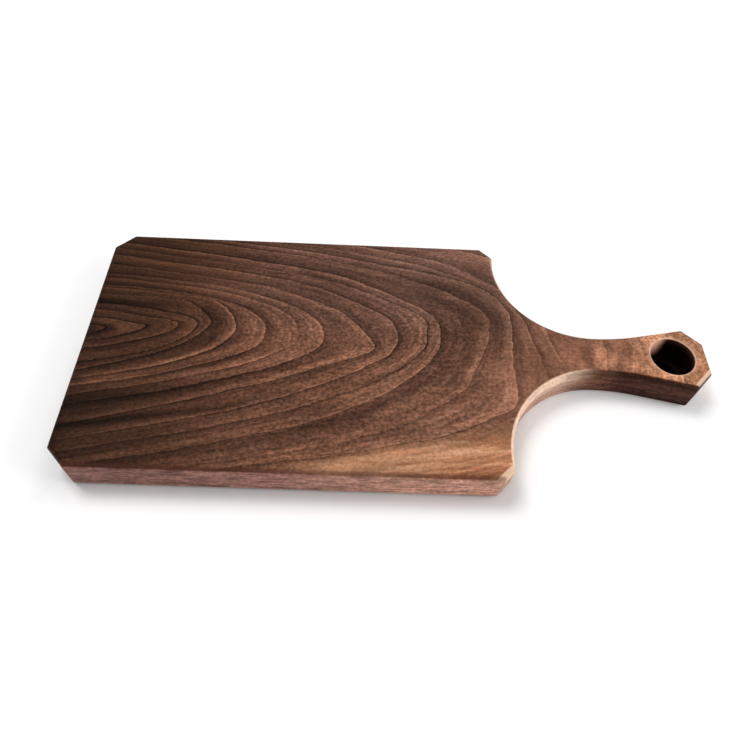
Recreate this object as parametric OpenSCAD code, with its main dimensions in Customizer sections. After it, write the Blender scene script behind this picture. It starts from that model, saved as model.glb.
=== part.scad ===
// Bread board cut from one plank: clipped far corners, hollow shoulders that run into a slim neck,
// a flared handle with a clipped end, and a round hanging hole. Every edge is eased on both faces.
// Millimetres. +X runs along the grain to the handle, +Z is up.
// The origin is at the middle of the board's box, on its underside.

/* [Board] */
// Length of the board, from its far end to the corners of the shoulders
board_l = 297; // [220:1:420]
// Width of the board
board_w = 203; // [160:1:215]
// Thickness of the plank
plank_t = 27; // [18:0.5:40]

/* [Corners and edges] */
// Leg of the two clipped corners at the far end
far_clip = 13.5; // [5:0.5:30]
// Leg of the two clipped corners at the shoulders
shoulder_clip = 9.5; // [5:0.5:20]
// Radius of the round-over along the outline, on both faces
edge_r = 4; // [1:0.25:6]

/* [Handle] */
// Length of the handle, from the corners of the shoulders to its end
handle_l = 148; // [130:1:190]
// Radius of the shoulders' hollows
shoulder_r = 68.5; // [55:0.5:72]
// Width of the neck where the handle is slimmest
neck_w = 30.5; // [26:0.5:40]
// Length of the handle's straight sides, which run on from the arcs behind the neck
flare_side = 36; // [15:1:45]
// Width of the handle at its widest place
end_w = 52; // [48:0.5:56]
// Leg of the two clipped corners at the end of the handle
end_clip = 13; // [6:0.5:16]

/* [Hanging hole] */
// Diameter of the hole
hole_d = 31.5; // [12:0.5:34]
// Distance from the hole's centre to the end of the handle
hole_inset = 26; // [24:0.5:34]
// Radius of the hole's eased rims
rim_r = 1; // [0.5:0.25:3]

/* [Hidden] */
$fn = 96;
// How far a cutter runs past the wood
overrun = 6;
// How far inside the flare's arc its straight side starts, so that the two walls cross
seam = 0.005;
// How deep the lip of a round-over bites into the wall
bite = 0.007;

// Shoulders: each hollow is one arc, from the clipped corner to the slimmest place
shoulder_y = board_w / 2 - shoulder_clip;
hollow_y = neck_w / 2 + shoulder_r;
hollow_wrap = asin((shoulder_y - hollow_y) / shoulder_r);
full_l = board_l + handle_l;

// Places along the length
far_x = -full_l / 2;
shoulder_x = far_x + board_l;
neck_x = shoulder_x + shoulder_r * cos(hollow_wrap);
tip_x = full_l / 2;
widest_x = tip_x - end_clip;
hole_x = tip_x - hole_inset;

// Corners of one side, from the far end to the tip
far_low = [far_x, board_w / 2 - far_clip];
far_high = [far_x + far_clip, board_w / 2];
shoulder_high = [shoulder_x - shoulder_clip, board_w / 2];
shoulder_low = [shoulder_x, shoulder_y];
neck = [neck_x, neck_w / 2];
widest = [widest_x, end_w / 2];
tip = [tip_x, end_w / 2 - end_clip];

// Flare: an arc leaves the neck along the axis, and a straight side runs on from it to the widest place.
// The way along the arc's end tangent is as long as the way along the axis to it.
flare_l = widest_x - neck_x;
flare_rise = (end_w - neck_w) / 2;
flare_tangent = (flare_l ^ 2 + flare_rise ^ 2 - flare_side ^ 2) / (2 * (flare_l + flare_side));
flare_angle = atan2(flare_rise, flare_l - flare_tangent);
flare_r = flare_tangent / tan(flare_angle / 2);
flare_start = neck + [0, flare_r] + (flare_r - seam) * [sin(flare_angle), -cos(flare_angle)];

// Outline of one side as it is sawn, with straight edges across the hollow and the flare
stock_y = end_w / 2 + edge_r;
side = [far_low, far_high, shoulder_high, shoulder_low + overrun * [1, -1], [neck_x, stock_y],
        [flare_start[0], stock_y], flare_start, widest, tip];

function flip(p) = [p[0], -p[1]];
function backwards(list) = [for (i = [len(list) - 1 : -1 : 0]) list[i]];

// Waste at a wall's lower lip, in section: the wood starts at x = 0 and keeps an arc of radius r
module lip_section(r, reach) {
    corner = r - bite;
    difference() {
        translate([-reach, -reach])
            square(reach + corner);
        translate([corner, corner])
            circle(r = r);
    }
}

// The same at the face under the wood and at the face on top
module both_faces() {
    for (over = [0, 1])
        translate([0, 0, over * plank_t])
            mirror([0, 0, over])
                children();
}

// Lips along a straight edge, with the wood on the left of the way from a to b. They start and end as
// far past the corners as is said.
module straight_lips(a, b, before, after) {
    way = b - a;
    translate([a[0], a[1], 0])
        rotate([0, 0, atan2(way[1], way[0])])
            translate([-before, 0, 0])
                both_faces()
                    rotate([90, 0, 90])
                        linear_extrude(height = norm(way) + before + after)
                            lip_section(edge_r, overrun);
}

// Lips of a hollow wall that touches the neck's side
module hollow_lips(r, from, sweep) {
    translate([neck[0], neck[1], 0])
        translate([0, r, 0])
            rotate([0, 0, from])
                both_faces()
                    rotate_extrude(angle = sweep)
                        translate([r, 0])
                            lip_section(edge_r, overrun);
}

// Waste in front of the flare's wall, as wide as the rough handle leaves it
module flare_waste() {
    translate([neck[0], neck[1], 0])
        translate([0, flare_r, 0])
            rotate([0, 0, 270])
                rotate_extrude(angle = 2 * flare_angle)
                    translate([flare_r - end_w / 2, -overrun])
                        square([end_w / 2, plank_t + 2 * overrun]);
}

// Waste in the shoulder's hollow
module shoulder_waste() {
    translate([neck[0], neck[1], -overrun])
        translate([0, shoulder_r, 0])
            cylinder(r = shoulder_r, h = plank_t + 2 * overrun);
}

// Waste on one side, in the order of the cuts: both hollow walls, then the lips along every edge
module side_waste(i) {
    if (i == 0)
        flare_waste();
    if (i == 1)
        shoulder_waste();
    if (i == 2)
        straight_lips(far_high, far_low, overrun, overrun);
    if (i == 3)
        straight_lips(shoulder_high, far_high, overrun, overrun);
    if (i == 4)
        straight_lips(shoulder_low, shoulder_high, overrun, overrun);
    if (i == 5)
        straight_lips(tip, widest, overrun, overrun);
    if (i == 6)
        hollow_lips(flare_r, 270, 2 * flare_angle);
    if (i == 7)
        straight_lips(widest, flare_start, overrun, 0);
    if (i == 8)
        hollow_lips(shoulder_r, 90, 180);
}

// The plank sawn to its outline
module blank() {
    linear_extrude(height = plank_t)
        polygon(concat(side, backwards([for (p = side) flip(p)])));
}

// The blank with its first edges shaped on both sides, one after another
module shaped(cuts) {
    if (cuts == 0)
        blank();
    else
        difference() {
            shaped(cuts - 1);
            for (across = [0, 1])
                mirror([0, across, 0])
                    side_waste(cuts - 1);
        }
}

// The hanging hole
module hole_waste() {
    translate([hole_x, 0, -overrun])
        cylinder(d = hole_d, h = plank_t + 2 * overrun);
}

// Its eased rims
module rim_waste() {
    translate([hole_x, 0, 0])
        both_faces()
            rotate_extrude()
                translate([hole_d / 2, 0])
                    lip_section(rim_r, rim_r);
}

module board() {
    color([0.36, 0.22, 0.14])
        difference() {
            shaped(9);
            straight_lips(far_low, flip(far_low), overrun, overrun);
            straight_lips(flip(tip), tip, overrun, overrun);
            hole_waste();
            rim_waste();
        }
}

board();
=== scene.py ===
import math

import bpy
import numpy as np
from mathutils import Matrix, Vector, geometry, noise


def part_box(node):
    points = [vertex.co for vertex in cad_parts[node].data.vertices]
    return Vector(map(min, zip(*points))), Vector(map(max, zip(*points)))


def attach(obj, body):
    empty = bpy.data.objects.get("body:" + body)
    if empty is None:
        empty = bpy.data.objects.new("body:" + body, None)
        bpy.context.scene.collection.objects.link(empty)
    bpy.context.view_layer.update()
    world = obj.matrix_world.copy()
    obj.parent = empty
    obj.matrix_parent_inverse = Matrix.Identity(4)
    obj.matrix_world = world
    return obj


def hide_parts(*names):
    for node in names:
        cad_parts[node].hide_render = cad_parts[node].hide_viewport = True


bl_info = {
    "name": "Bread Board",
    "version": (1, 0, 0),
    "blender": (4, 5, 0),
    "location": "3D View > Sidebar > Bread Board",
    "description": "Models and finishes a one-piece wooden bread board with a handle",
    "category": "Add Mesh",
}

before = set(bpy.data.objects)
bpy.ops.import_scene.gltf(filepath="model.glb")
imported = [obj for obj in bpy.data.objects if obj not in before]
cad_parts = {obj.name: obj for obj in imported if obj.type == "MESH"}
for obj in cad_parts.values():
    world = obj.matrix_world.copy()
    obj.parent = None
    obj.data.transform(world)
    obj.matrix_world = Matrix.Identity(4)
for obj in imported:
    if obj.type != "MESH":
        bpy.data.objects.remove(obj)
BOX_LOW, BOX_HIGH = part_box("board")
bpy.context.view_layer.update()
MM = 0.001
# Half the length of the board's broad part, in millimetres
BROAD_HALF = 148.5

# Rough lengths of the outline's runs. They set how many points each run gets.
CLIP_RUN = 0.017
LONG_SIDE_RUN = 0.272
SHOULDER_CLIP_RUN = 0.012
HOLLOW_RUN = 0.116
FLARE_RUN = 0.032
HANDLE_SIDE_RUN = 0.035
TIP_RUN = 0.025
FAR_END_RUN = 0.175
# Steps round an upright corner, round over an edge, round over the hole's rim and up a wall
CORNER_STEPS = 4
EDGE_STEPS = 8
RIM_STEPS = 4
WALL_STEPS = 8
HOLE_POINTS = 96
# How near the field of points comes to a ring of points, in steps of the mesh
FIELD_MARGIN = 0.6
# Points of a flat face that are nearer than this would be merged
MERGE_DISTANCE = 1e-7

# Growth rings on the serving face. Each row is one ring, in millimetres from the middle of the board's
# broad part: where its tip lies along and across, then how far the ring has opened towards the back
# edge and towards the front edge at each of the setbacks behind the tip.
SETBACKS = (4, 20, 80, 200)
RINGS = (
    (-420, 0, (1, 3, 7, 12), (1, 4, 9, 16)),
    (-360, 0, (1, 3, 7, 12), (1, 4, 10, 18)),
    (-305, 1, (1, 3, 7, 13), (2, 5, 11, 19)),
    (-255, 2, (1, 3, 8, 14), (2, 5, 12, 21)),
    (-210, 3, (1, 3, 8, 15), (2, 6, 13, 23)),
    (-170, 4, (1, 3, 8, 16), (3, 7, 15, 25)),
    (-136, 6, (2, 4, 9, 18), (3, 8, 17, 28)),
    (-106, 10, (2, 4, 11, 21), (4, 11, 21, 31)),
    (-84, 13, (3, 5, 14, 24), (6, 14, 28, 40)),
    (-70, 14, (5, 9, 17, 27), (8, 21, 39, 54)),
    (-61, 15, (8, 20, 25, 31), (6, 20, 44, 62)),
    (-42, 14, (9, 22, 31, 38), (11, 25, 46, 66)),
    (-21, 9, (11, 22, 35, 44), (11, 22, 42, 65)),
    (2, 8, (12, 25, 41, 51), (9, 21, 43, 66)),
    (19, 6, (12, 26, 45, 56), (9, 21, 44, 69)),
    (57, -1, (6, 27, 53, 70), (4, 11, 36, 70)),
    (73, 11, (11, 23, 48, 66), (15, 27, 58, 90)),
    (96, 15, (11, 22, 47, 66), (16, 32, 65, 98)),
    (105, 13, (12, 25, 53, 73), (16, 36, 73, 106)),
    (140, 17, (19, 30, 56, 76), (15, 51, 88, 116)),
    (156, 0, (42, 59, 76, 96), (46, 57, 77, 100)),
    (178, -16, (16, 60, 94, 116), (25, 59, 74, 98)),
    (193, -16, (10, 50, 98, 122), (20, 60, 82, 106)),
    (222, 0, (16, 52, 92, 120), (18, 56, 92, 118)),
    (243, 4, (14, 50, 94, 124), (18, 56, 96, 122)),
    (258, 2, (14, 52, 96, 128), (18, 56, 98, 126)),
    (276, -3, (16, 54, 98, 130), (16, 54, 100, 130)),
    (300, 0, (18, 58, 102, 134), (18, 58, 102, 134)),
    (340, 0, (20, 62, 106, 138), (20, 62, 106, 138)),
)


def length(name, description, default):
    return bpy.props.FloatProperty(name=name, description=description, default=default,
                                   unit="LENGTH", subtype="DISTANCE")


def tint(name, description, default):
    return bpy.props.FloatVectorProperty(name=name, description=description, default=default,
                                         subtype="COLOR", min=0.0, max=1.0)


class BoardShape(bpy.types.PropertyGroup):
    """Sizes of the board"""
    broad_length: length("Board length", "From the far end to the corners of the shoulders", 0.297)
    overall_length: length(
        "Overall length", "From the far end to the end of the handle", BOX_HIGH.x - BOX_LOW.x)
    width: length("Width", "Across the broad part", BOX_HIGH.y - BOX_LOW.y)
    thickness: length("Thickness", "Thickness of the plank", BOX_HIGH.z - BOX_LOW.z)
    far_clip: length("Far clip", "Leg of the two clipped corners at the far end", 0.0135)
    shoulder_clip: length("Shoulder clip", "Leg of the two clipped corners at the shoulders", 0.0095)
    edge_radius: length("Edge round-over", "Radius of the round-over along both faces", 0.004)
    corner_softness: length(
        "Corner softness", "Radius to which sanding has taken the upright corners", 0.0009)
    shoulder_radius: length("Shoulder radius", "Radius of the two hollows beside the neck", 0.0685)
    neck_width: length("Neck width", "Width of the handle at its slimmest place", 0.0305)
    flare_side: length("Handle side", "Length of the handle's straight sides", 0.036)
    end_width: length("Handle end width", "Width of the handle at its widest place", 0.052)
    end_clip: length("Handle clip", "Leg of the two clipped corners at the handle's end", 0.013)
    hole_diameter: length("Hole diameter", "Diameter of the hanging hole", 0.0315)
    hole_inset: length("Hole inset", "From the hole's centre to the end of the handle", 0.026)
    rim_radius: length("Hole rim", "Radius of the hole's eased rims", 0.001)
    mesh_step: length("Mesh step", "Distance between neighbouring points of the mesh", 0.0022)


class BoardFinish(bpy.types.PropertyGroup):
    """Colours and sheen of the wood"""
    heartwood: tint("Heartwood", "Body colour of the wood", (0.168, 0.0738, 0.0425))
    late_wood: tint("Late wood", "Dark wood on the outer side of each ring", (0.022, 0.008, 0.0045))
    ring_line: tint("Ring line", "Thin pale line between two rings", (0.305, 0.14, 0.077))
    sapwood: tint("Sapwood", "Golden wood along the front edge", (0.482, 0.221, 0.109))
    # End grain of the walls, painted pale as lit by the low softbox at the handle's end
    lit_end_grain: tint("End grain", "Sanded wood where the walls cut across the fibres", (0.58, 0.34, 0.25))
    roughness: bpy.props.FloatProperty(
        name="Roughness", description="Sheen of the oiled surface, lower is glossier",
        default=0.48, min=0.0, max=1.0, subtype="FACTOR")
    grain_depth: length("Grain depth", "Depth of the open pores", 0.00012)


class BoardStage(bpy.types.PropertyGroup):
    """Floor, lamps and camera"""
    floor_colour: tint("Floor", "Colour of the floor", (0.88, 0.88, 0.88))
    floor_size: length("Floor size", "Side of the square floor", 24.0)
    side_power: bpy.props.FloatProperty(
        name="Side softbox", description="Power of the low softbox at the handle's end", default=22.0)
    back_power: bpy.props.FloatProperty(
        name="Back softbox", description="Power of the high softbox behind the far end", default=38.0)
    sky: bpy.props.FloatProperty(
        name="Surroundings", description="Strength of the even light from the room", default=0.5)


# Outline of the board

class Straight:
    """A straight wall: the wood lies where the normal's reach is under the limit."""

    def __init__(self, point, normal):
        self.normal = Vector(normal).normalized()
        self.reach = self.normal.dot(Vector(point))

    def outward(self, point):
        return self.normal

    def meet_line(self, inset):
        return self.normal, self.reach - inset


class Hollow:
    """A hollow round wall: the wood lies outside the circle."""

    def __init__(self, centre, radius):
        self.centre = Vector(centre)
        self.radius = radius

    def outward(self, point):
        return (self.centre - point).normalized()


def meeting(a, b, inset, near):
    """The point where two walls meet, both moved into the wood by the inset."""
    if isinstance(a, Hollow):
        a, b = b, a
    n, c = a.meet_line(inset)
    if isinstance(b, Straight):
        m, d = b.meet_line(inset)
        turn = n.x * m.y - n.y * m.x
        return Vector(((c * m.y - d * n.y) / turn, (n.x * d - m.x * c) / turn))
    gap = c - n.dot(b.centre)
    along = Vector((-n.y, n.x))
    half = math.sqrt((b.radius + inset) ** 2 - gap ** 2)
    both = [b.centre + n * gap + along * side * half for side in (-1, 1)]
    return min(both, key=lambda p: (p - near).length)


def corner(a, b, inset, softness, near):
    """Points round an upright corner that sanding has softened."""
    centre = meeting(a, b, inset + softness, near)
    start = a.outward(centre)
    end = b.outward(centre)
    first = math.atan2(start.y, start.x)
    sweep = (math.atan2(end.y, end.x) - first + math.pi) % (2 * math.pi) - math.pi
    angles = [first + sweep * i / CORNER_STEPS for i in range(CORNER_STEPS + 1)]
    return [centre + softness * Vector((math.cos(t), math.sin(t))) for t in angles]


def between(a, b, steps):
    return [a.lerp(b, i / steps) for i in range(1, steps)]


def along_arc(wall, inset, start, end, steps):
    """Points on a hollow wall between two angles, without its two ends."""
    r = wall.radius + inset
    angles = [start + (end - start) * i / steps for i in range(1, steps)]
    return [wall.centre + r * Vector((math.cos(t), math.sin(t))) for t in angles]


class Outline:
    """The board's outline, worked out from its sizes."""

    def __init__(self, shape):
        self.shape = shape
        low_x, high_x = BOX_LOW.x, BOX_HIGH.x
        half = shape.width / 2
        shoulder_x = low_x + shape.broad_length
        neck_y = shape.neck_width / 2
        shoulder_y = half - shape.shoulder_clip
        wrap = math.asin((shoulder_y - neck_y - shape.shoulder_radius) / shape.shoulder_radius)
        neck_x = shoulder_x + shape.shoulder_radius * math.cos(wrap)
        widest = Vector((high_x - shape.end_clip, shape.end_width / 2))
        run = widest.x - neck_x
        rise = widest.y - neck_y
        tangent = (run ** 2 + rise ** 2 - shape.flare_side ** 2) / (2 * (run + shape.flare_side))
        self.flare = math.atan2(rise, run - tangent)
        flare_radius = tangent / math.tan(self.flare / 2)
        self.end = Straight((low_x, 0), (-1, 0))
        self.far_clip = Straight((low_x + shape.far_clip, half), (-1, 1))
        self.long_side = Straight((0, half), (0, 1))
        self.shoulder_clip = Straight((shoulder_x, shoulder_y), (1, 1))
        self.hollow = Hollow((neck_x, neck_y + shape.shoulder_radius), shape.shoulder_radius)
        self.flare_arc = Hollow((neck_x, neck_y + flare_radius), flare_radius)
        self.side = Straight(widest, (-math.sin(self.flare), math.cos(self.flare)))
        self.end_clip = Straight(widest, (1, 1))
        self.tip = Straight((high_x, 0), (1, 0))
        self.near = {
            "far_low": Vector((low_x, half - shape.far_clip)),
            "far_high": Vector((low_x + shape.far_clip, half)),
            "shoulder_high": Vector((shoulder_x - shape.shoulder_clip, half)),
            "shoulder_low": Vector((shoulder_x, shoulder_y)),
            "widest": widest,
            "tip": Vector((high_x, widest.y - shape.end_clip)),
        }

    def half_ring(self, inset):
        """One side of the outline, from the far end to the tip of the handle."""
        step = self.shape.mesh_step
        soft = self.shape.corner_softness
        near = self.near

        def turn(a, b, name):
            return corner(a, b, inset, soft, near[name])

        far_low = turn(self.end, self.far_clip, "far_low")
        far_high = turn(self.far_clip, self.long_side, "far_high")
        shoulder_high = turn(self.long_side, self.shoulder_clip, "shoulder_high")
        shoulder_low = turn(self.shoulder_clip, self.hollow, "shoulder_low")
        widest = turn(self.side, self.end_clip, "widest")
        tip = turn(self.end_clip, self.tip, "tip")
        down = -math.pi / 2
        neck = self.hollow.centre + Vector((0, -self.hollow.radius - inset))
        out = self.flare_arc.radius + inset
        flare_end = self.flare_arc.centre + out * Vector((math.sin(self.flare), -math.cos(self.flare)))
        leave = shoulder_low[-1] - self.hollow.centre
        begin = math.atan2(leave.y, leave.x) % (2 * math.pi) - 2 * math.pi
        points = far_low + between(far_low[-1], far_high[0], round(CLIP_RUN / step))
        points += far_high + between(far_high[-1], shoulder_high[0], round(LONG_SIDE_RUN / step))
        points += shoulder_high
        points += between(shoulder_high[-1], shoulder_low[0], round(SHOULDER_CLIP_RUN / step))
        points += shoulder_low + along_arc(self.hollow, inset, begin, down, round(HOLLOW_RUN / step)) + [neck]
        points += along_arc(self.flare_arc, inset, down, down + self.flare, round(FLARE_RUN / step))
        points += [flare_end] + between(flare_end, widest[0], round(HANDLE_SIDE_RUN / step))
        points += widest + between(widest[-1], tip[0], round(CLIP_RUN / step)) + tip
        return points

    def ring(self, inset):
        """The whole outline, anticlockwise from above."""
        upper = self.half_ring(inset)
        lower = [Vector((p.x, -p.y)) for p in upper]
        step = self.shape.mesh_step
        across_tip = between(lower[-1], upper[-1], round(TIP_RUN / step))
        across_end = between(upper[0], lower[0], round(FAR_END_RUN / step))
        return lower + across_tip + upper[::-1] + across_end


def round_over(radius, thickness, arc_steps, wall_steps):
    """Levels up the side of the plank: how far in and how high, with both edges rounded over."""
    quarter = [math.pi / 2 * i / arc_steps for i in range(arc_steps + 1)]
    low = [(radius * (1 - math.sin(t)), radius * (1 - math.cos(t))) for t in quarter]
    wall = [(0.0, radius + (thickness - 2 * radius) * i / wall_steps) for i in range(1, wall_steps)]
    high = [(inset, thickness - z) for inset, z in reversed(low)]
    return low + wall + high


def inside(points, ring):
    """Which points lie inside a closed ring, by counting how many of its edges they look across."""
    a = np.asarray(ring)
    b = np.roll(a, -1, axis=0)
    x = points[:, 0][:, None]
    y = points[:, 1][:, None]
    spans = (a[None, :, 1] > y) != (b[None, :, 1] > y)
    rise = np.where(b[:, 1] == a[:, 1], 1.0, b[:, 1] - a[:, 1])
    cross = a[None, :, 0] + (y - a[None, :, 1]) * ((b[:, 0] - a[:, 0]) / rise)[None, :]
    return (spans & (x < cross)).sum(axis=1) % 2 == 1


def face_points(outline, shape):
    """Points of a flat face: its outer ring, the rim of the hole and an even field between them."""
    outer = [tuple(p) for p in outline.ring(shape.edge_radius)]
    hole_edge = shape.hole_diameter / 2 + shape.rim_radius
    hole = hole_ring(shape, hole_edge)
    step = shape.mesh_step
    margin = FIELD_MARGIN * step
    xs = np.arange(BOX_LOW.x, BOX_HIGH.x, step)
    ys = np.arange(BOX_LOW.y, BOX_HIGH.y, step * math.sqrt(3) / 2)
    field = np.array([(x + (row % 2) * step / 2, y) for row, y in enumerate(ys) for x in xs])
    keep = inside(field, outline.ring(shape.edge_radius + margin))
    centre = np.array((BOX_HIGH.x - shape.hole_inset, 0.0))
    keep &= np.hypot(*(field - centre).T) > hole_edge + margin
    return outer, hole, [tuple(p) for p in field[keep]]


def hole_ring(shape, radius):
    x = BOX_HIGH.x - shape.hole_inset
    turns = [2 * math.pi * i / HOLE_POINTS for i in range(HOLE_POINTS)]
    return [(x + radius * math.cos(t), radius * math.sin(t)) for t in turns]


def fill_face(outer, hole, field):
    """Triangles of the flat face. The field's points come last, so the two rings keep their numbers."""
    points = [Vector(p) for p in outer + hole + field]
    n, m = len(outer), len(hole)
    edges = [(i, (i + 1) % n) for i in range(n)] + [(n + i, n + (i + 1) % m) for i in range(m)]
    found, _, faces, origin, _, _ = geometry.delaunay_2d_cdt(points, edges, [], 0, MERGE_DISTANCE)
    if len(found) != len(points):
        raise RuntimeError("the flat face lost or gained points")
    number = [first[0] for first in origin]
    middle = np.array([np.mean([found[i] for i in face], axis=0) for face in faces])
    wood = inside(middle, outer) & ~inside(middle, hole)
    kept = []
    for face, keep in zip(faces, wood):
        if not keep:
            continue
        a, b, c = [found[i] for i in face]
        turn = (b - a).cross(c - a)
        ids = [number[i] for i in face]
        kept.append(ids if turn > 0 else ids[::-1])
    return kept


def make_board(shape):
    """The whole plank as one closed mesh."""
    outline = Outline(shape)
    t = shape.thickness
    outer, hole, field = face_points(outline, shape)
    verts = []
    faces = []

    def strip(rows):
        """Quads between rows of points that are already in the mesh."""
        for low, high in zip(rows, rows[1:]):
            count = len(low)
            for i in range(count):
                j = (i + 1) % count
                faces.append((low[i], low[j], high[j], high[i]))

    def row(points, z):
        start = len(verts)
        verts.extend((p[0], p[1], z) for p in points)
        return list(range(start, len(verts)))

    levels = round_over(shape.edge_radius, t, EDGE_STEPS, WALL_STEPS)
    side = [row(outline.ring(inset), z) for inset, z in levels]
    strip(side)
    rims = round_over(shape.rim_radius, t, RIM_STEPS, WALL_STEPS)
    bore = [row(hole_ring(shape, shape.hole_diameter / 2 + inset), z) for inset, z in rims]
    strip([list(reversed(ids)) for ids in bore])
    triangles = fill_face(outer, hole, field)
    for level, z, flip in ((0, 0.0, True), (-1, t, False)):
        number = side[level] + bore[level] + row(field, z)
        for face in triangles:
            ids = [number[i] for i in face]
            faces.append(ids[::-1] if flip else ids)
    mesh = bpy.data.meshes.new("bread_board")
    mesh.from_pydata([(x, y, z + BOX_LOW.z) for x, y, z in verts], [], faces)
    mesh.validate()
    mesh.update()
    return mesh


# Growth rings

# Least width that counts, in millimetres
LEAST_WIDTH = 0.05
# Least steepness of a ring's tip, and the most setback, both of them as logarithms
TIP_STEEPNESS = 1.7
FARTHEST = 8.0
# Least distance between two rings, and the distance between those past the last row, in millimetres
LEAST_GAP = 2.0
LAST_GAP = 40


def setback(width, reach):
    """How far behind a ring's tip the ring has opened to a given width."""
    steps = np.log(np.array(SETBACKS, float))
    opened = np.log(np.array(reach, float))
    wanted = np.log(np.maximum(width, LEAST_WIDTH))
    back = np.interp(wanted, opened, steps)
    first = (steps[1] - steps[0]) / (opened[1] - opened[0])
    last = (steps[-1] - steps[-2]) / (opened[-1] - opened[-2])
    first = max(first, TIP_STEEPNESS)
    back = np.where(wanted < opened[0], steps[0] + (wanted - opened[0]) * first, back)
    back = np.where(wanted > opened[-1], steps[-1] + (wanted - opened[-1]) * last, back)
    return np.exp(np.minimum(back, FARTHEST))


def ring_number(x, y):
    """Which ring a place on the serving face lies in, as a number that grows towards the handle."""
    places = []
    for tip_x, tip_y, back, front in RINGS:
        across = y - tip_y
        opened = np.where(across > 0, setback(np.abs(across), back), setback(np.abs(across), front))
        places.append(tip_x - opened)
    places = np.array(places)
    for i in range(1, len(places)):
        places[i] = np.maximum(places[i], places[i - 1] + LEAST_GAP)
    number = np.zeros_like(x)
    for i in range(len(places) - 1):
        part = (x - places[i]) / (places[i + 1] - places[i])
        number = np.where((part >= 0) & (part < 1), i + part, number)
    number = np.where(x >= places[-1], len(places) - 1 + (x - places[-1]) / LAST_GAP, number)
    return number


# How far a ring's tip moves towards the far end for each millimetre under the serving face
RING_TILT = 3.4

# Broad dark and light places in the wood, as strokes along the grain. Each row gives how much darker or
# lighter, the half-width, and the way of the stroke, in millimetres from the middle of the broad part.
# A stroke fades towards its end.
STROKE_FADING = 0.75
STROKES = (
    (-1.0, 4.0, ((-160, -57), (-100, -48), (-60, -39), (0, -20))),
    (-1.1, 2.2, ((-160, -74), (-112, -68), (-45, -56), (0, -40))),
    (-0.45, 7.0, ((-155, 4), (-122, 1))),
    (-0.8, 3.0, ((-160, 34), (-110, 31), (-76, 29))),
    (-0.6, 4.0, ((-66, 27), (-55, 16), (-60, 2), (-84, -10), (-120, -21))),
    (-0.25, 5.0, ((-160, 62), (-60, 59), (20, 41))),
    (-0.40, 3.0, ((0, 70), (40, 50), (84, 30))),
    (-0.30, 4.0, ((98, 32), (111, 12), (92, -14), (72, -32))),
    (-0.55, 11.0, ((102, 64), (132, 52), (146, 34))),
    (-0.32, 12.0, ((124, 36), (122, 2))),
    (-0.30, 10.0, ((0, -54), (84, -64))),
    (-0.30, 6.0, ((108, -100), (142, -98))),
    (-0.25, 5.0, ((-152, 100), (-152, -100))),
    (-0.25, 6.0, ((-120, 96), (120, 99))),
    (0.45, 3.6, ((-160, -46), (-100, -35), (-50, -24), (0, -9))),
    (0.30, 1.6, ((-150, 72), (-90, 72), (-50, 66))),
    (0.18, 9.0, ((-132, 9), (-100, 4))),
    (0.27, 15.0, ((-35, 10), (46, 6))),
    (0.30, 2.4, ((-70, -33), (0, -26))),
    (0.32, 12.0, ((158, -40), (164, 14))),
    (0.25, 9.0, ((142, -18), (146, -46))),
    (0.65, 2.4, ((217, 4), (215, -17))),
    (0.45, 3.0, ((231, -6), (246, -10), (253, -15))),
    (0.32, 3.5, ((222, -9), (232, 2))),
    (-0.32, 3.0, ((211, 8), (204, -8))),
    (-0.38, 3.0, ((224, 8), (228, 2))),
    (-0.38, 2.8, ((239, 8), (237, -2))),
    (-0.22, 4.0, ((190, 14), (244, 15))),
    (0.25, 9.0, ((250, 16), (286, 0), (256, -20))),
    (0.55, 4.5, ((-134, -37), (-60, -13), (-4, 5))),
    (0.25, 3.0, ((-96, -47), (-20, -31))),
    (-0.40, 8.0, ((-156, -66), (-140, -98))),
    (-0.34, 3.6, ((-20, 63), (45, 38), (71, 10), (66, -14))),
    (-0.35, 5.0, ((150, 14), (149, 34), (142, 60))),
    (-0.40, 5.5, ((148, -66), (110, -74), (70, -82))),
    (0.25, 5.0, ((-22, 8), (-30, 24))),
    (0.20, 6.0, ((98, 36), (70, 52))),
    (0.22, 5.0, ((96, -36), (78, -49), (36, -62))),
    (-0.13, 9.0, ((134, 84), (138, 0), (112, -62))),
    (0.22, 5.0, ((18, -64), (60, -56), (84, -42))),
    (0.22, 5.0, ((60, -86), (112, -76))),
    (0.25, 6.0, ((36, -6), (54, -2))),
    (-0.25, 7.0, ((110, 40), (84, 60), (40, 84))),
    (-0.10, 26.0, ((60, 66), (-70, 70))),
    (0.14, 18.0, ((-150, 4), (-110, 0), (-70, 0))),
)


def on_serving_face(co):
    """Where the grain at places in the plank comes out on the serving face, in millimetres from the
    middle of the broad part. The rings cross the plank on a slant."""
    depth = (BOX_HIGH.z - co[:, 2]) / MM
    return (co[:, 0] - BOX_LOW.x) / MM - BROAD_HALF - RING_TILT * depth, co[:, 1] / MM


def ring_at(co):
    """The ring number at places in the plank."""
    return ring_number(*on_serving_face(co))


def stroke_shade(co):
    """How much darker or lighter the strokes make the wood, zero where none lies."""
    x, y = on_serving_face(co)
    total = np.zeros(len(co))
    for change, half_width, way in STROKES:
        nearest = np.full(len(co), 1e9)
        done = np.zeros(len(co))
        for i, ((ax, ay), (bx, by)) in enumerate(zip(way, way[1:])):
            dx, dy = bx - ax, by - ay
            share = np.clip(((x - ax) * dx + (y - ay) * dy) / (dx * dx + dy * dy), 0, 1)
            off = np.hypot(x - ax - share * dx, y - ay - share * dy)
            done = np.where(off < nearest, (i + share) / (len(way) - 1), done)
            nearest = np.minimum(nearest, off)
        total += change * (1 - STROKE_FADING * done ** 2) * np.exp(-(nearest / half_width) ** 2)
    return total


# Unevenness of the rings: how often it repeats along, across and down the plank, how far it goes along
# and how far across
UNEVENNESS = (
    ((16, 34, 20), 0.0035, 0.0014),
    ((60, 110, 60), 0.0012, 0.0006),
)
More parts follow.
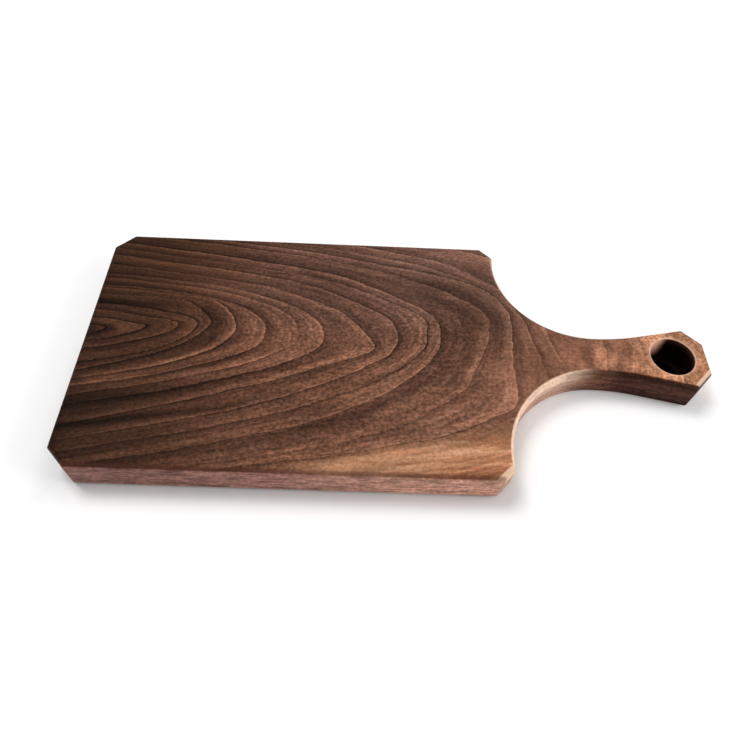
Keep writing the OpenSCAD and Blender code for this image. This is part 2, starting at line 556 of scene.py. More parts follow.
# Where the shifts along and across start in the noise
START_ALONG = Vector((3.1, 5.7, 2.3))
START_ACROSS = Vector((11.4, 8.2, 6.9))


def wander(co):
    """Small unevenness of the rings, as a shift along and across the plank."""
    shift = np.zeros((len(co), 3))
    for i, p in enumerate(co):
        for often, along, across in UNEVENNESS:
            place = Vector((p[0] * often[0], p[1] * often[1], p[2] * often[2]))
            shift[i, 0] += noise.noise(place + START_ALONG) * along
            shift[i, 1] += noise.noise(place + START_ACROSS) * across
    return shift


def read_points(mesh, name):
    """A vector of every point, its place or its normal."""
    values = np.zeros(len(mesh.vertices) * 3)
    mesh.vertices.foreach_get(name, values)
    return values.reshape(-1, 3)


# Half the distance over which the rings are counted, in metres, and the fewest rings per millimetre
PROBE = 0.0004
FEWEST_RINGS = 0.004


def ring_gap(co, normal):
    """Distance between neighbouring rings along the surface, in millimetres."""
    slope = np.zeros((len(co), 3))
    for axis in range(3):
        step = np.zeros(3)
        step[axis] = PROBE
        slope[:, axis] = (ring_at(co + step) - ring_at(co - step)) / (2 * PROBE / MM)
    slope -= (slope * normal).sum(axis=1)[:, None] * normal
    return 1 / np.maximum(np.linalg.norm(slope, axis=1), FEWEST_RINGS)


# Round the hanging hole, in radii of its rim: how far the bore's painted shade reaches, and where the
# painted highlight on the rim is strongest and how far it reaches to both sides
BORE_REACH = 0.4
RIM_PALEST = 0.6
RIM_REACH = 0.5


def mark_grain(mesh, shape):
    """Writes the rings, the strokes, the cut of the fibres and the places round the hole on every point."""
    co = read_points(mesh, "co")
    normal = read_points(mesh, "normal")
    moved = co + wander(co)
    from_hole = np.hypot(co[:, 0] - (BOX_HIGH.x - shape.hole_inset), co[:, 1]) - shape.hole_diameter / 2
    radius = shape.rim_radius
    half = shape.thickness / 2
    marks = {
        "ring": ring_at(moved),
        "ring_gap": ring_gap(moved, normal),
        "stroke_shade": stroke_shade(moved),
        "lit_end_grain": np.abs(normal[:, 0]),
        # Where the hole's painted shade and painted highlights go
        "bore": np.clip(1 - from_hole / (BORE_REACH * radius), 0, 1),
        "rim": np.clip(1 - np.abs(from_hole - RIM_PALEST * radius) / (RIM_REACH * radius), 0, 1),
        "rim_near": np.abs(co[:, 2] - BOX_LOW.z - half) / half,
    }
    for name, values in marks.items():
        layer = mesh.attributes.new(name, "FLOAT", "POINT")
        layer.data.foreach_set("value", np.asarray(values, np.float32))


# Wood

class Tree:
    """Short ways to place and join shader nodes."""

    def __init__(self, material):
        material.use_nodes = True
        self.nodes = material.node_tree.nodes
        self.links = material.node_tree.links
        self.nodes.clear()

    def node(self, kind, inputs=None, **settings):
        made = self.nodes.new(kind)
        for key, value in settings.items():
            setattr(made, key, value)
        for key, value in (inputs or {}).items():
            self.feed(made.inputs[key], value)
        return made

    def feed(self, socket, value):
        if isinstance(value, bpy.types.NodeSocket):
            self.links.new(value, socket)
        elif value is not None:
            socket.default_value = value

    def math(self, kind, a, b=None):
        made = self.node("ShaderNodeMath", operation=kind)
        for socket, value in zip(made.inputs, (a, b)):
            self.feed(socket, value)
        return made.outputs[0]

    def times(self, *values):
        """The product of all the values."""
        product = values[0]
        for value in values[1:]:
            product = self.math("MULTIPLY", product, value)
        return product

    def mix(self, share, a, b, kind="MIX"):
        made = self.node("ShaderNodeMix", data_type="RGBA", blend_type=kind)
        for index, value in ((0, share), (6, a), (7, b)):
            self.feed(made.inputs[index], value)
        return made.outputs[2]

    def shaded(self, tone, level):
        """A colour times one number."""
        return self.mix(1.0, tone, self.joined(level, level, level), "MULTIPLY")

    def span(self, value, low, high, out_low=0.0, out_high=1.0, kind="SMOOTHSTEP"):
        """A smooth step from one number to another while the value goes from low to high."""
        made = self.node("ShaderNodeMapRange", interpolation_type=kind)
        for socket, number in zip(made.inputs, (value, low, high, out_low, out_high)):
            self.feed(socket, number)
        return made.outputs[0]

    def below(self, value, low, high, rest=0.0):
        """One while the value is under low, and the rest over high."""
        return self.span(value, low, high, 1.0, rest)

    def fading(self, distance, reach):
        """One at the start, fading with the distance."""
        return self.math("EXPONENT", self.math("DIVIDE", distance, -reach))

    def line(self, distance, width):
        """A soft line at distance zero."""
        near = self.math("DIVIDE", distance, width)
        return self.math("EXPONENT", self.times(near, near, -1.0))

    def attribute(self, name):
        return self.node("ShaderNodeAttribute", attribute_name=name).outputs["Fac"]

    def noise(self, vector, detail=3.0, rough=0.55, warp=0.0):
        made = self.node("ShaderNodeTexNoise", {"Vector": vector, "Scale": 1.0, "Detail": detail,
                                                "Roughness": rough, "Distortion": warp})
        return made.outputs["Fac"]

    def uneven(self, noise, least, most, reach=0.2):
        """Noise as a factor: the reach is how far from its middle it comes to the least and the most."""
        return self.span(noise, 0.5 - reach, 0.5 + reach, least, most)

    def stretched(self, vector, scale):
        made = self.node("ShaderNodeMapping", {"Vector": vector})
        made.inputs["Scale"].default_value = scale
        return made.outputs[0]

    def joined(self, x, y, z):
        made = self.node("ShaderNodeCombineXYZ")
        for socket, value in zip(made.inputs, (x, y, z)):
            self.feed(socket, value)
        return made.outputs[0]

    def split(self, vector):
        return self.node("ShaderNodeSeparateXYZ", {"Vector": vector}).outputs


def colour(values):
    return (*values, 1.0)


# Colours of single places on the board
# Painted highlight along the upper side of the lit walls
CUT_UPPER_HIGHLIGHT = colour((1.0, 0.70, 0.52))
# Painted highlight on the round-overs of the two front clips
CLIP_HIGHLIGHT = colour((0.86, 0.58, 0.40))
# Painted shade in the bore, darkest halfway down and less dark towards its mouths
BORE_DEEP_SHADE = colour((0.004, 0.002, 0.001))
BORE_MOUTH_SHADE = colour((0.05, 0.022, 0.014))
# Painted highlights on the bore's wall and on the hole's rims
BORE_PATCH_HIGHLIGHT = colour((1.0, 0.56, 0.40))
HOLE_RIM_HIGHLIGHT = colour((0.90, 0.58, 0.42))
# Painted shade on the round-over of the front edge
FRONT_ROUND_OVER_SHADE = colour((0.085, 0.028, 0.022))
# The front wall: partly paler sapwood, partly painted light that grows towards the handle, with painted sheen
FRONT_WALL_FAR = colour((0.27, 0.128, 0.103))
FRONT_WALL_NEAR = colour((0.65, 0.34, 0.25))
# Painted reflection of the floor on the front wall's foot
FRONT_FOOT_REFLECTION = colour((0.80, 0.42, 0.30))
# Painted shade on the handle's front wall
HANDLE_WALL_SHADE = colour((0.065, 0.026, 0.019))
# Painted bluish sheen on the back of the serving face
BACK_SHEEN = colour((0.96, 1.04, 1.18))

# The wood along the board: how far from the far end to the tip, how light, then green and blue beside red.
# It is darkest and reddest at the far end and lightest in the handle: partly the wood's own tone, partly
# painted light that grows towards the handle's end.
LENGTH_TONE_AND_LIGHT = (
    (0.0, 0.21, 0.93, 0.88),
    (0.12, 0.345, 0.95, 0.92),
    (0.33, 0.80, 0.99, 1.03),
    (0.54, 0.85, 1.04, 1.13),
    (0.68, 0.95, 1.02, 1.10),
    (0.81, 1.36, 1.0, 1.02),
    (0.93, 2.12, 1.04, 0.97),
)
# A colour ramp holds nothing over one, so it holds half of each tint and the level makes up for it
TINT_SHARE = 0.5

# Patterns in the wood: how often each repeats in a metre along, across and down the plank
WAVER = (60, 260, 260)
RING_STRENGTH = (14, 30, 30)
FIBRES = (45, 300, 300)
PORES = (330, 1100, 1100)
SPECKLE = (400, 450, 450)
WALL_STREAKS = (60, 90, 330)
CLOUD = (7, 14, 14)
# Patterns that follow the rings: how often each repeats over a ring, and in a metre along and across
LAYERS = (6.0, 9.0, 9.0)
BANDS = (1.6, 5.0, 5.0)
LONG_STREAKS = (2.6, 7.0, 60.0)
# Veins of the golden wood: how often they repeat in a metre along and across, and how far they slant
VEINS = (9.0, 120.0)
VEIN_SLANT = 0.07

# Widths in a ring, in millimetres: how far its edges waver, the dark line at its start and how far that
# fades, the pale line at its end and how far back its pale band fades
RING_WAVER = 2.2
DARK_LINE = 1.2
DARK_FADE = 4.0
PALE_LINE = 0.8
PALE_FADE = 3.4
# Distances between rings, in millimetres, from where they crowd to where they are clear
CROWDED = (3.0, 10.0)
# Numbers of the two rings between which the golden wood starts
GOLDEN_RINGS = (19.75, 20.5)

# Places where the looks change, in metres from the middle of the underside. Each pair is where a change
# begins and where it is done.
GOLDEN_ACROSS = (-0.080, -0.052)
GOLDEN_ALONG = (-0.12, -0.02)
FAR_PART = (-0.18, -0.08)
BACK_PART = (0.01, 0.05)
HANDLE_ROOT = (0.085, 0.125)
# The front limbs of the rings lie in front of a line on a slant
LIMB_SLANT = 0.25
LIMB_EDGE = (-0.045, -0.005)
# The far end's strokes, and the back with its painted bluish sheen
STROKES_ALONG = (-0.13, 0.0)
SHEEN_ACROSS = (-0.01, 0.05)
SHEEN_ALONG = (-0.16, -0.08)
# Wood cut across its fibres, on the walls and on the round-overs of the shoulders, where light and a
# highlight are painted
CUT_ALONG = (0.0, 0.06)
SHOULDER_START = (0.0700, 0.0712)
HOLLOW_END = (0.115, 0.145)
MIDDLE_LINE = (-0.01, 0.01)
CUT_HIGHLIGHT_PART = (0.012, 0.022)
# Where the round-overs of the two front clips start and are full, as the place along less the place
# across, where each clip ends along the board, and how high on it the painted highlight lies
SHOULDER_CLIP_EDGE = (0.1610, 0.1628)
SHOULDER_CLIP_END = (0.0755, 0.0765)
END_CLIP_EDGE = (0.2295, 0.2315)
END_CLIP_END = (0.2217, 0.2223)
CLIP_HIGHLIGHT_PART = (0.014, 0.022)
# The painted highlight in the bore, up from the underside
PATCH_FOOT = (0.004, 0.014)
# The front edge: its round-over with painted shade, its wall, how that grows paler along with painted light,
# and its foot with a painted reflection
FRONT_TURN = (-0.0997, -0.0975)
FRONT_TURN_UP = (0.0, 0.02)
FRONT_WALL = (-0.1013, -0.1006)
FRONT_WALL_ALONG = (-0.18, 0.11)
FRONT_FOOT = (0.0015, 0.0045)
# The handle's front wall, painted dark as shade: in front of the middle line, past the hollow, darkest at its
# foot and its top
HANDLE_FRONT = (-0.012, -0.002)
HANDLE_ALONG = (0.105, 0.165)
HANDLE_FOOT = (0.0, 0.014)
HANDLE_TOP = (0.018, 0.0235)

# Turns of the surface, each as one part of its normal: from wall to face, fibres from shallow to cut,
# from round-over to face, the bore's side that faces the handle's end, and walls that face the front
WALL_TO_FACE = (0.35, 0.92)
FIBRES_CUT = (0.18, 0.75)
ROUND_OVER_TO_FACE = (0.80, 0.975)
PATCH_TURN = (-0.05, 0.40)
FACES_FRONT = (-0.7, -0.4)


class Place:
    """Where a point of the surface lies and which way it faces."""

    def __init__(self, t):
        self.spot = t.node("ShaderNodeTexCoord").outputs["Object"]
        self.x, self.y, self.z = t.split(self.spot)
        self.facing_x, self.facing_y, facing_z = t.split(t.node("ShaderNodeNewGeometry").outputs["Normal"])
        self.flatness = t.math("ABSOLUTE", facing_z)
        self.face = t.span(self.flatness, *WALL_TO_FACE)
        self.wall = t.math("SUBTRACT", 1.0, self.face)


class Rings:
    """The growth rings. Each ends in a pale band with a thin pale line, and the next starts with a dark
    line that fades."""

    def __init__(self, t, at):
        # Which ring a point lies in, and how many millimetres it is from the lines on both sides
        waver = t.noise(t.stretched(at.spot, WAVER), 4.0, 0.6)
        gap = t.attribute("ring_gap")
        shake = t.math("DIVIDE", t.times(t.math("SUBTRACT", waver, 0.5), RING_WAVER), gap)
        self.number = t.math("ADD", t.attribute("ring"), shake)
        self.part = t.math("FRACT", self.number)
        past = t.times(self.part, gap)
        before = t.times(t.math("SUBTRACT", 1.0, self.part), gap)
        whole = t.math("FLOOR", self.number)
        self.draw = t.node("ShaderNodeTexWhiteNoise", {"W": whole}, noise_dimensions="1D").outputs[0]

        # Golden wood along the front edge, outside the last ring that comes to a point on the board
        self.golden = t.times(t.span(self.number, *GOLDEN_RINGS), t.below(at.y, *GOLDEN_ACROSS),
                              t.span(at.x, *GOLDEN_ALONG))
        self.plain = t.below(self.golden, 0.0, 1.0, 0.3)

        # How clear the rings are: least in the handle, on the walls, on the front limbs and where they crowd
        limbs = t.span(t.math("SUBTRACT", at.y, t.times(at.x, LIMB_SLANT)), *LIMB_EDGE, 0.5, 1.0)
        self.clear = t.times(t.below(at.x, *HANDLE_ROOT, 0.3), t.span(at.face, 0.0, 1.0, 0.25, 1.0),
                             t.span(gap, *CROWDED, 0.55, 1.0), t.span(at.x, *FAR_PART, 1.35, 1.0),
                             limbs, t.below(at.y, *BACK_PART, 0.78))
        strong = t.noise(t.stretched(at.spot, RING_STRENGTH), 2.0)
        late = t.math("ADD", t.times(t.fading(past, DARK_FADE), 0.45),
                      t.times(t.line(past, DARK_LINE), 0.42))
        self.late = t.times(late, t.uneven(strong, 0.3, 1.1), self.clear, self.plain)
        pale = t.math("ADD", t.times(t.fading(before, PALE_FADE), 0.4),
                      t.times(t.line(before, PALE_LINE), 0.3))
        self.pale = t.times(pale, t.uneven(strong, 1.1, 0.5), t.span(at.face, 0.0, 1.0, 0.2, 1.0),
                            self.plain, limbs, t.below(at.y, *BACK_PART, 0.8))


class Grain:
    """Fibres, pores and layers, and how light they make the wood."""

    def __init__(self, t, at, rings):
        def along_rings(pattern, detail, rough):
            per_ring, along, across = pattern
            vector = t.joined(t.times(rings.number, per_ring), t.times(at.x, along), t.times(at.y, across))
            return t.noise(vector, detail, rough)

        self.fibres = t.noise(t.stretched(at.spot, FIBRES), 4.0, 0.65)
        pores = t.noise(t.stretched(at.spot, PORES), 1.0, 0.5)
        self.pore = t.span(pores, 0.52, 0.72)
        layers = along_rings(LAYERS, 4.0, 0.7)
        bands = along_rings(BANDS, 2.0, 0.5)
        long_streaks = along_rings(LONG_STREAKS, 3.0, 0.6)
        speckle = t.noise(t.stretched(at.spot, SPECKLE), 1.0, 0.5, 0.4)
        wall_streaks = t.noise(t.stretched(at.spot, WALL_STREAKS), 4.0, 0.6)
        cloud = t.noise(t.stretched(at.spot, CLOUD))

        # The fine grain's strength goes from one number to another over each of these
        fine = t.times(t.uneven(layers, 0.72, 1.28), t.uneven(self.fibres, 0.86, 1.16),
                       t.span(self.pore, 0.0, 1.0, 1.04, 0.76), t.uneven(speckle, 0.66, 1.36))
        for where, low, high, strength_low, strength_high in (
                (rings.golden, 0.0, 1.0, 1.0, 0.45),
                (at.x, 0.04, 0.09, 1.0, 0.6),
                (at.x, 0.15, 0.19, 1.0, 1.6),
                (at.y, 0.02, 0.05, 1.0, 0.75),
                (at.x, -0.19, -0.08, 0.7, 1.0)):
            fine = t.math("POWER", fine, t.span(where, low, high, strength_low, strength_high))
        on_wall = t.times(t.uneven(wall_streaks, 0.5, 1.55, 0.25), t.uneven(speckle, 0.78, 1.24))
        self.fine = t.math("ADD", t.times(fine, at.face), t.times(on_wall, at.wall))

        # Veins in the golden wood, which run a little aslant
        slanted = t.math("SUBTRACT", at.y, t.times(at.x, VEIN_SLANT))
        veins = t.noise(t.joined(t.times(at.x, VEINS[0]), t.times(slanted, VEINS[1]), 0.0), 3.0, 0.6)
        self.veins = t.math("POWER", t.uneven(veins, 0.60, 1.40, 0.17), rings.golden)

        # Everything that makes the wood lighter or darker together
        stroke = t.times(t.attribute("stroke_shade"), t.span(at.x, *STROKES_ALONG, 1.35, 1.0))
        through_ring = t.times(t.math("SUBTRACT", rings.part, 0.5), t.times(rings.clear, rings.plain, 0.55))
        self.level = t.times(self.fine, 1 / TINT_SHARE, t.math("EXPONENT", stroke), self.veins,
                             t.uneven(cloud, 0.86, 1.14), t.uneven(bands, 0.8, 1.2),
                             t.span(rings.draw, 0.0, 1.0, 0.88, 1.12), t.uneven(long_streaks, 0.80, 1.22),
                             t.math("ADD", through_ring, 1.0))


def length_tone_and_light(t, at):
    """The tint of the wood along the board, partly its own tone and partly painted light."""
    along = t.span(at.x, BOX_LOW.x, BOX_HIGH.x, kind="LINEAR")
    node = t.node("ShaderNodeValToRGB", {"Fac": along})
    stops = node.color_ramp.elements
    while len(stops) < len(LENGTH_TONE_AND_LIGHT):
        stops.new(0.5)
    for stop, (spot, light, green, blue) in zip(stops, LENGTH_TONE_AND_LIGHT):
        red = light * TINT_SHARE
        stop.position = spot
        stop.color = (red, red * green, red * blue, 1.0)
    return node.outputs[0]


def face_wood(t, at, rings, grain, finish):
    """Colour of the wood with its rings and grain, before the single places."""
    wood = t.mix(rings.golden, colour(finish.heartwood), colour(finish.sapwood))
    wood = t.mix(t.math("MINIMUM", rings.late, 0.92), wood, colour(finish.late_wood))
    wood = t.mix(t.math("MINIMUM", rings.pale, 0.92), wood, colour(finish.ring_line))
    wood = t.mix(1.0, wood, length_tone_and_light(t, at), "MULTIPLY")
    wood = t.shaded(wood, grain.level)
    redder = t.joined(t.math("POWER", grain.veins, -0.35), 1.0, t.math("POWER", grain.veins, 0.2))
    wood = t.mix(1.0, wood, redder, "MULTIPLY")
    # Painted sheen over the back, left out at the far end
    behind = t.times(t.span(at.y, *SHEEN_ACROSS), t.span(at.x, *SHEEN_ALONG))
    return t.mix(behind, wood, t.mix(1.0, wood, BACK_SHEEN, "MULTIPLY"))


def lit_cut_share(t, at):
    """How far the saw has cut across the fibres, on the walls of the handle's half, and the round-overs of
    the
    shoulders and hollows: where painted light and a painted highlight go."""
    across = t.times(t.span(t.attribute("lit_end_grain"), *FIBRES_CUT), at.wall,
                     t.span(at.x, *CUT_ALONG, 0.05, 1.0))
    beside = t.times(t.span(at.x, *SHOULDER_START), t.below(at.x, *HOLLOW_END),
                     t.below(at.y, *MIDDLE_LINE, 0.25), t.below(at.flatness, *ROUND_OVER_TO_FACE))
    return t.math("MAXIMUM", across, beside)


def lit_cut_wood(t, at, grain, finish, wood, cut):
    """Walls across the fibres are painted pale as lit, with a painted highlight along their upper side, and
    the two front clips of the shoulder and the tip carry a painted highlight."""
    # Painted light on the walls across the fibres, turning into a painted highlight along their upper side
    pale = t.mix(t.span(at.z, *CUT_HIGHLIGHT_PART), colour(finish.lit_end_grain), CUT_UPPER_HIGHLIGHT)
    wood = t.mix(t.times(cut, 0.85), wood, t.shaded(pale, t.math("POWER", grain.fine, 0.5)))
    # Painted highlight on the upper round-overs of the shoulder's and the tip's front clips
    corner = t.math("SUBTRACT", at.x, at.y)
    shoulder = t.times(t.span(corner, *SHOULDER_CLIP_EDGE), t.below(at.x, *SHOULDER_CLIP_END))
    tip = t.times(t.span(corner, *END_CLIP_EDGE), t.below(at.x, *END_CLIP_END))
    clip_highlight = t.times(t.math("MAXIMUM", shoulder, tip), 0.8, t.span(at.z, *CLIP_HIGHLIGHT_PART))
    return t.mix(clip_highlight, wood, CLIP_HIGHLIGHT)


def bore_shade_and_highlights(t, at, wood, bore):
    """The bore is painted dark as shade, darkest halfway down, but for a painted highlight on its side that
    faces the handle's end, and the rims carry a painted highlight."""
    # Painted shade in the bore, darkest halfway down
    deep_shade = t.mix(t.span(t.attribute("rim_near"), 0.5, 1.0), BORE_DEEP_SHADE, BORE_MOUTH_SHADE)
    # Painted highlight on the bore's side that faces the handle's end
    patch = t.times(t.span(at.facing_x, *PATCH_TURN), t.span(at.z, *PATCH_FOOT))
    wood = t.mix(bore, wood, t.mix(patch, deep_shade, BORE_PATCH_HIGHLIGHT))
    # Painted highlight on both rims
    return t.mix(t.times(t.attribute("rim"), 0.85), wood, HOLE_RIM_HIGHLIGHT)


def front_edge_tone_and_light(t, at, grain, wood):
    """The front edge: painted shade on its round-over, a pinker, paler wall that is partly sapwood and partly
    painted light and sheen growing along, and a painted reflection on its foot.
    """
    # Painted shade on the front edge's round-over
    turned_shade = t.times(t.below(at.y, *FRONT_TURN), t.span(at.z, *FRONT_TURN_UP), 0.6)
    wood = t.mix(turned_shade, wood, FRONT_ROUND_OVER_SHADE)
    # The front wall: paler sapwood with painted light that grows towards the handle, and a painted reflection
    # at its foot
    rind_and_light = t.mix(t.span(at.x, *FRONT_WALL_ALONG), FRONT_WALL_FAR, FRONT_WALL_NEAR)
    rind_and_light = t.mix(t.span(at.z, *FRONT_FOOT, 0.6, 0.0), rind_and_light, FRONT_FOOT_REFLECTION)
    outside = t.below(at.y, *FRONT_WALL)
    return t.mix(t.times(outside, 0.85), wood, t.shaded(rind_and_light, grain.fine))


def walnut(finish):
    """Oiled walnut, cut so that its growth rings run to a point towards the handle."""
    material = bpy.data.materials.new("oiled_walnut")
    t = Tree(material)
    at = Place(t)
    rings = Rings(t, at)
    grain = Grain(t, at, rings)
    # End grain, which is rougher, and where painted light and highlights go on the walls and round-overs
    cut = lit_cut_share(t, at)
    # Where the bore's painted shade goes
    bore = t.attribute("bore")
    wood = face_wood(t, at, rings, grain, finish)
    wood = lit_cut_wood(t, at, grain, finish, wood, cut)
    wood = bore_shade_and_highlights(t, at, wood, bore)
    wood = front_edge_tone_and_light(t, at, grain, wood)

    # The handle's front wall is painted dark as shade, darkest at its foot and under its upper edge
    under = t.times(t.below(at.y, *HANDLE_FRONT), t.below(at.facing_y, *FACES_FRONT),
                    t.span(at.x, *HANDLE_ALONG))
    dark = t.times(grain.fine, t.span(at.z, *HANDLE_FOOT, 0.18, 1.2), t.below(at.z, *HANDLE_TOP, 0.4))
    wood = t.mix(t.times(under, 0.97), wood, t.shaded(HANDLE_WALL_SHADE, dark))

    rough = finish.roughness
    for more in (t.times(t.math("SUBTRACT", grain.fibres, 0.5), 0.2), t.times(grain.pore, 0.12),
                 t.times(cut, 0.08)):
        rough = t.math("ADD", rough, more)
    polish = t.times(at.wall, t.math("SUBTRACT", 1.0, t.math("MAXIMUM", bore, under)), 0.12)
    height = t.math("SUBTRACT", t.times(grain.fibres, 0.35), grain.pore)
    bump = t.node("ShaderNodeBump", {"Height": height, "Strength": 0.5, "Distance": finish.grain_depth})
    shader = t.node("ShaderNodeBsdfPrincipled",
                    {"Base Color": wood, "Roughness": rough, "Normal": bump.outputs[0],
                     "Specular IOR Level": 0.02, "Coat Weight": polish, "Coat Roughness": 0.32})
    t.node("ShaderNodeOutputMaterial", {"Surface": shader.outputs[0]})
    return material


class BREADBOARD_OT_board(bpy.types.Operator):
    """Model the plank and give it its wood"""
    bl_idname = "breadboard.board"
    bl_label = "Board"

    def execute(self, context):
        shape = context.scene.board_shape
        mesh = make_board(shape)
        mark_grain(mesh, shape)
        mesh.materials.append(walnut(context.scene.board_finish))
        mesh.polygons.foreach_set("use_smooth", [True] * len(mesh.polygons))
        board = bpy.data.objects.new("bread_board", mesh)
        context.scene.collection.objects.link(board)
        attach(board, "root")
        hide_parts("board")
        return {"FINISHED"}


# Stage

CARD_POINTS = 48
CARD_RADIUS = 0.02
# How far the floor and the card lie under the board, so that no two faces share a place
FLOOR_DROP = 0.0002
CARD_DROP = 0.0001


def staged(name, corners):
    """A flat piece of the stage."""
    mesh = bpy.data.meshes.new(name)
    mesh.from_pydata(corners, [], [tuple(range(len(corners)))])
    made = bpy.data.objects.new(name, mesh)
    bpy.context.scene.collection.objects.link(made)
    return made


def flat_square(name, size, z):
    half = size / 2
    return staged(name, [(-half, -half, z), (half, -half, z), (half, half, z), (-half, half, z)])


def round_shade_card(name, radius, x, z):
    """A small round card that lies on the floor, to carry painted shade."""
    turns = [2 * math.pi * i / CARD_POINTS for i in range(CARD_POINTS)]
    return staged(name, [(x + radius * math.cos(a), radius * math.sin(a), z) for a in turns])


def shade_card_paint():
    """Matt black painted shade under the hanging hole, so that the hole looks as deep as in the photograph.
    """
    material = bpy.data.materials.new("shade_card_black")
    t = Tree(material)
    paint = t.node("ShaderNodeBsdfDiffuse", {"Color": (0.002, 0.002, 0.002, 1)})
    t.node("ShaderNodeOutputMaterial", {"Surface": paint.outputs[0]})
    return material


def seen_directly(t):
    """One where the camera or a mirror-like surface looks, zero for the light that the room gets."""
    path = t.node("ShaderNodeLightPath")
    seen = t.math("MAXIMUM", path.outputs["Is Camera Ray"], path.outputs["Is Glossy Ray"])
    return t.math("MAXIMUM", seen, path.outputs["Is Transmission Ray"])


# Distances from the middle of the floor, in metres, over which its glow grows near by and far away
GLOW_NEAR = (0.8, 2.4)
GLOW_FAR = (2.4, 7.0)
# How far in front of the board the glow is held back, which paints a shadow on the floor, and the line past
# which it isn't
PAINTED_SHADOW_REACH = 0.024
PAINTED_SHADOW_LINE = (-0.02, 0.02)


def floor_glow(t):
    """Light that keeps the floor white where it is seen, stronger far away. Close in front of the board it is
    held back, which paints a shadow on the floor."""
    place = t.node("ShaderNodeTexCoord").outputs["Object"]
    away = t.node("ShaderNodeVectorMath", {"Vector": place}, operation="LENGTH").outputs["Value"]
    lift = t.math("ADD", t.span(away, *GLOW_NEAR, 0.13, 0.45), t.span(away, *GLOW_FAR, 0.0, 0.5))
    x, y, _ = t.split(place)
    half_length = BROAD_HALF * MM
    from_middle = t.math("SUBTRACT", x, BOX_LOW.x + half_length)
    beyond_end = t.math("SUBTRACT", t.math("ABSOLUTE", from_middle), half_length)
    beyond_side = t.math("SUBTRACT", t.math("ABSOLUTE", y), BOX_HIGH.y)
    # Painted shadow: in front, the glow fades out towards the broad part's outline
    clear = t.span(t.math("MAXIMUM", beyond_end, beyond_side), 0.0, PAINTED_SHADOW_REACH)
    return t.times(seen_directly(t), lift, t.math("MAXIMUM", clear, t.span(y, *PAINTED_SHADOW_LINE)))


def floor_paint(stage):
    material = bpy.data.materials.new("floor_paint")
    t = Tree(material)
    paint = t.node("ShaderNodeBsdfDiffuse", {"Color": colour(stage.floor_colour)})
    glow = t.node("ShaderNodeEmission", {"Color": (1, 1, 1, 1), "Strength": floor_glow(t)})
    both = t.node("ShaderNodeAddShader")
    t.links.new(paint.outputs[0], both.inputs[0])
    t.links.new(glow.outputs[0], both.inputs[1])
    t.node("ShaderNodeOutputMaterial", {"Surface": both.outputs[0]})
    return material


def softbox(name, spot, size, power):
    """A square lamp that faces the board."""
    lamp = bpy.data.lights.new(name, "AREA")
    lamp.shape = "RECTANGLE"
    lamp.size = lamp.size_y = size
    lamp.energy = power
    made = bpy.data.objects.new(name, lamp)
    bpy.context.scene.collection.objects.link(made)
    made.location = spot
    made.rotation_euler = (-Vector(spot)).to_track_quat("-Z", "Y").to_euler()


SOFTBOX_SIZE = 1.1
SIDE_SPOT = (2.2, -0.3, 1.2)
BACK_SPOT = (-1.0, 0.8, 2.4)

# The photograph's viewpoint, and its focal length as a share of the picture's width
CAMERA_SPOT = (-0.02613, -0.27462, 0.3911)
FOCAL_SHARE = 641.86 / 750
SENSOR_WIDTH = 36.0


def place_camera(scene):
    """The photograph's viewpoint, over the front edge and a little left of the middle."""
    right = Vector((0.999130, 0.017795, 0.037709))
    up = Vector((-0.035976, 0.825098, 0.563843))
    back = Vector((-0.021081, -0.564709, 0.825021))
    data = bpy.data.cameras.new("camera")
    data.sensor_width = SENSOR_WIDTH
    data.lens = SENSOR_WIDTH * FOCAL_SHARE
    camera = bpy.data.objects.new("camera", data)
    scene.collection.objects.link(camera)
    turn = Matrix((right, up, back)).transposed().to_4x4()
    camera.matrix_world = Matrix.Translation(CAMERA_SPOT) @ turn
    scene.camera = camera


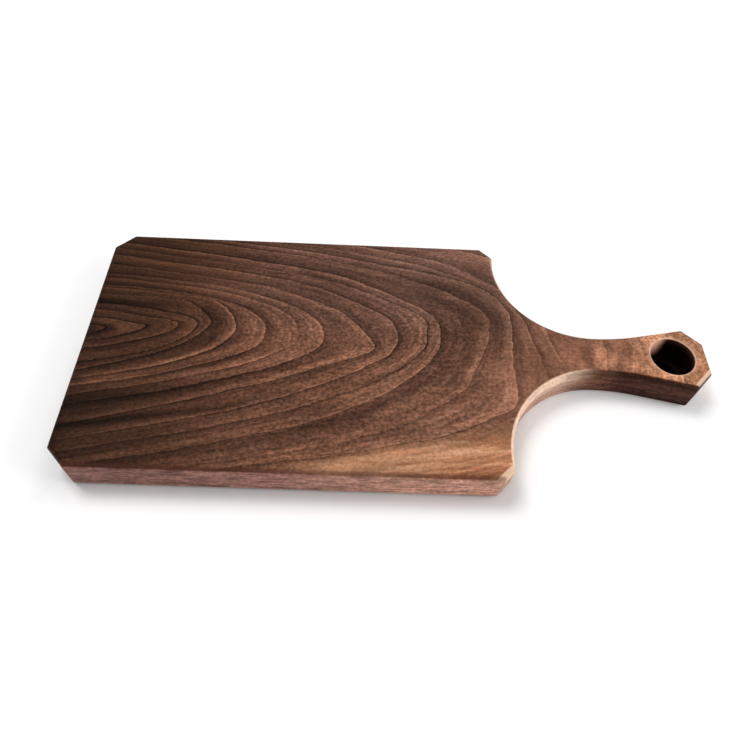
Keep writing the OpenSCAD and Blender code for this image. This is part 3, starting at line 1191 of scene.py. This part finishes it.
class BREADBOARD_OT_stage(bpy.types.Operator):
    """Lay the floor and set the lamps and the camera"""
    bl_idname = "breadboard.stage"
    bl_label = "Stage"

    def execute(self, context):
        scene = context.scene
        stage = scene.board_stage
        floor = flat_square("floor", stage.floor_size, BOX_LOW.z - FLOOR_DROP)
        floor.data.materials.append(floor_paint(stage))
        softbox("side_softbox", SIDE_SPOT, SOFTBOX_SIZE, stage.side_power)
        softbox("back_softbox", BACK_SPOT, SOFTBOX_SIZE, stage.back_power)
        # A black card under the hanging hole, as painted shade seen through it
        hole_x = BOX_HIGH.x - scene.board_shape.hole_inset
        card = round_shade_card("hole_shade_card", CARD_RADIUS, hole_x, BOX_LOW.z - CARD_DROP)
        card.data.materials.append(shade_card_paint())
        world = bpy.data.worlds.new("room")
        scene.world = world
        t = Tree(world)
        strength = t.math("MAXIMUM", seen_directly(t), stage.sky)
        sky = t.node("ShaderNodeBackground", {"Color": (1, 1, 1, 1), "Strength": strength})
        t.node("ShaderNodeOutputWorld", {"Surface": sky.outputs[0]})
        scene.view_settings.view_transform = "Standard"
        place_camera(scene)
        return {"FINISHED"}


class BREADBOARD_PT_panel(bpy.types.Panel):
    """Bread board tools"""
    bl_idname = "BREADBOARD_PT_panel"
    bl_label = "Bread Board"
    bl_space_type = "VIEW_3D"
    bl_region_type = "UI"
    bl_category = "Bread Board"

    def draw(self, context):
        for group in ("board_shape", "board_finish", "board_stage"):
            owner = getattr(context.scene, group)
            box = self.layout.box()
            for name in owner.__annotations__:
                box.prop(owner, name)
        for cls in OPERATORS:
            self.layout.operator(cls.bl_idname)


OPERATORS = (BREADBOARD_OT_board, BREADBOARD_OT_stage)
GROUPS = {"board_shape": BoardShape, "board_finish": BoardFinish, "board_stage": BoardStage}


def register():
    for cls in (*GROUPS.values(), *OPERATORS, BREADBOARD_PT_panel):
        bpy.utils.register_class(cls)
    for name, cls in GROUPS.items():
        setattr(bpy.types.Scene, name, bpy.props.PointerProperty(type=cls))


def unregister():
    for name in GROUPS:
        delattr(bpy.types.Scene, name)
    for cls in reversed((*GROUPS.values(), *OPERATORS, BREADBOARD_PT_panel)):
        bpy.utils.unregister_class(cls)


def main():
    register()
    bpy.ops.breadboard.stage()
    bpy.ops.breadboard.board()
    bpy.context.view_layer.update()


if __name__ == "__main__":
    main()
